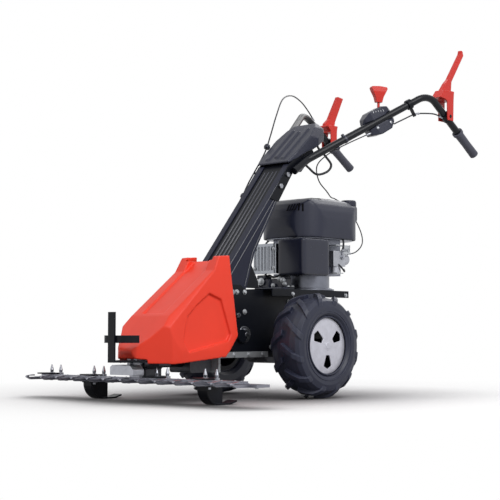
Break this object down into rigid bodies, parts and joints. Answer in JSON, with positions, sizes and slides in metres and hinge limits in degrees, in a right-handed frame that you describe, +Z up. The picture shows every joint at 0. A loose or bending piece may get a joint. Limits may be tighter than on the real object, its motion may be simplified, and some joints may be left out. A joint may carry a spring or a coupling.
{
  "type": "sickle bar mower",
  "caption": "Walk-behind sickle bar mower: toothed front cutter bar with sliding knife, red hood, lug tyres, rear engine, raised column and handlebar with clutch levers.",
  "frame": {"origin": "on the ground, at the middle of the machine's length and width", "axes": "+X points forward along the machine, +Y to the operator's left, +Z up"},
  "size_m": [1.4748, 0.98, 1.2179],
  "materials": {
    "black_paint": "satin black paint",
    "grey_paint": "dark slate paint",
    "steel": "bright machined steel",
    "bar_steel": "ground bar steel",
    "cast": "rough cast housing",
    "alloy": "cast alloy",
    "tyre": "moulded tread rubber",
    "rubber": "matt rubber",
    "red_plastic": "glossy moulded red",
    "black_plastic": "grained black moulding",
    "zinc": "zinc-plated fasteners",
    "brass": "plated linkage"
  },
  "bodies": {
    "chassis": {"axle_gearbox": "cast", "axle_bearings": "steel", "left_side_plate": "black_paint", "right_side_plate": "black_paint", "frame_spacers": "steel", "frame_bolts": "zinc", "neck_rails": "zinc", "engine_deck": "black_paint", "knife_gearbox": "cast", "neck_tube": "black_paint", "bar_carrier": "cast", "finger_bar": "bar_steel", "hold_down_clips": "black_paint", "clip_bolts": "zinc", "left_skid": "black_paint", "right_skid": "black_paint", "skid_bolts": "zinc", "guard_post": "black_paint", "guard_bow": "black_paint", "front_hood": "red_plastic", "column_left_beam": "grey_paint", "column_right_beam": "grey_paint", "head_bracket": "black_paint", "console_cover": "black_plastic", "console_base": "black_plastic", "engine_block": "alloy", "engine_shroud": "black_plastic", "air_filter_box": "black_plastic", "muffler": "alloy", "carburettor": "alloy", "drive_belts": "rubber", "handlebar_tubes": "black_paint", "grips": "rubber", "lever_brackets": "black_plastic", "throttle_pod": "black_plastic", "cable_stop": "black_plastic", "cables": "rubber"},
    "axle": {"axle_shaft": "steel", "wheel_rims": "black_paint", "left_tyre": "tyre", "right_tyre": "tyre", "wheel_covers": "alloy"},
    "gearbox_input": {"gearbox_input_shaft": "steel", "gearbox_pulley": "cast"},
    "knife_input": {"knife_input_shaft": "steel", "knife_pulley": "cast"},
    "drive_shaft": {"drive_shaft": "steel"},
    "knife": {"knife": "bar_steel", "knife_head": "alloy"},
    "crank": {"crankshaft": "steel", "engine_pulley": "cast"},
    "left_lever": {"left_lever": "red_plastic"},
    "right_lever": {"right_lever": "red_plastic"},
    "knife_idler": {"knife_idler_arm": "steel"},
    "knife_idler_wheel": {"knife_idler_pulley": "steel"},
    "drive_idler": {"drive_idler_arm": "steel"},
    "drive_idler_wheel": {"drive_idler_pulley": "steel"},
    "throttle_lever": {"throttle_lever": "red_plastic"},
    "throttle_arm": {"throttle_arm": "brass"},
    "fuel_cap": {"fuel_cap": "black_plastic"}
  },
  "joints": [
    {"name": "axle_spin", "type": "hinge", "parent": "chassis", "child": "axle", "pos_m": [0.08739, 0, 0.165], "axis": [0, 1, 0], "continuous": true},
    {"name": "gearbox_input_spin", "type": "hinge", "parent": "chassis", "child": "gearbox_input", "pos_m": [0.14539, 0, 0.2], "axis": [0, 0, 1], "continuous": true},
    {"name": "knife_input_spin", "type": "hinge", "parent": "chassis", "child": "knife_input", "pos_m": [0.41739, 0, 0.2], "axis": [0, 0, 1], "continuous": true},
    {"name": "drive_shaft_spin", "type": "hinge", "parent": "chassis", "child": "drive_shaft", "pos_m": [0.53739, 0, 0.128], "axis": [1, 0, 0], "continuous": true},
    {"name": "knife_slide", "type": "slide", "parent": "chassis", "child": "knife", "axis": [0, 1, 0], "range_m": [-0.025, 0.025]},
    {"name": "crank_spin", "type": "hinge", "parent": "chassis", "child": "crank", "pos_m": [-0.13261, 0, 0.38], "axis": [0, 0, 1], "continuous": true},
    {"name": "left_lever_squeeze", "type": "hinge", "parent": "chassis", "child": "left_lever", "pos_m": [-0.55225, 0.287, 0.96592], "axis": [0, -1, 0], "range_deg": [0, 85], "stiffness_Nm_per_rad": 1.5, "springref_deg": -22.92},
    {"name": "right_lever_squeeze", "type": "hinge", "parent": "chassis", "child": "right_lever", "pos_m": [-0.59906, -0.287, 0.93518], "axis": [0, -1, 0], "range_deg": [0, 74], "stiffness_Nm_per_rad": 1.5, "springref_deg": -22.92},
    {"name": "knife_idler_swing", "type": "hinge", "parent": "chassis", "child": "knife_idler", "pos_m": [0.28143, 0.018, 0.283], "axis": [0, 0, -1], "range_deg": [0, 12]},
    {"name": "knife_idler_spin", "type": "hinge", "parent": "knife_idler", "child": "knife_idler_wheel", "pos_m": [0.32339, -0.02, 0.292], "axis": [0, 0, 1], "continuous": true},
    {"name": "drive_idler_swing", "type": "hinge", "parent": "chassis", "child": "drive_idler", "pos_m": [-0.03261, 0.014, 0.327], "axis": [0, 0, -1], "range_deg": [0, 12]},
    {"name": "drive_idler_spin", "type": "hinge", "parent": "drive_idler", "child": "drive_idler_wheel", "pos_m": [0.00339, -0.016, 0.318], "axis": [0, 0, 1], "continuous": true},
    {"name": "throttle_lever_turn", "type": "hinge", "parent": "chassis", "child": "throttle_lever", "pos_m": [-0.2948, 0.18614, 0.96164], "axis": [-0.4493, -0.8934, 0], "range_deg": [-56, 8]},
    {"name": "throttle_arm_turn", "type": "hinge", "parent": "chassis", "child": "throttle_arm", "pos_m": [-0.17411, 0.124, 0.4592], "axis": [0, 1, 0], "range_deg": [-40, 6]},
    {"name": "fuel_cap_twist", "type": "hinge", "parent": "chassis", "child": "fuel_cap", "pos_m": [-0.26261, 0.078, 0.65], "axis": [0, 0, 1], "range_deg": [0, 90]}
  ],
  "couplings": [
    {"joint": "gearbox_input_spin", "follows": "axle_spin", "ratio": 20},
    {"joint": "drive_shaft_spin", "follows": "knife_input_spin", "ratio": 1},
    {"joint": "drive_idler_swing", "follows": "left_lever_squeeze", "ratio": 0.14},
    {"joint": "knife_idler_swing", "follows": "right_lever_squeeze", "ratio": 0.16},
    {"joint": "throttle_arm_turn", "follows": "throttle_lever_turn", "ratio": 0.7}
  ]
}
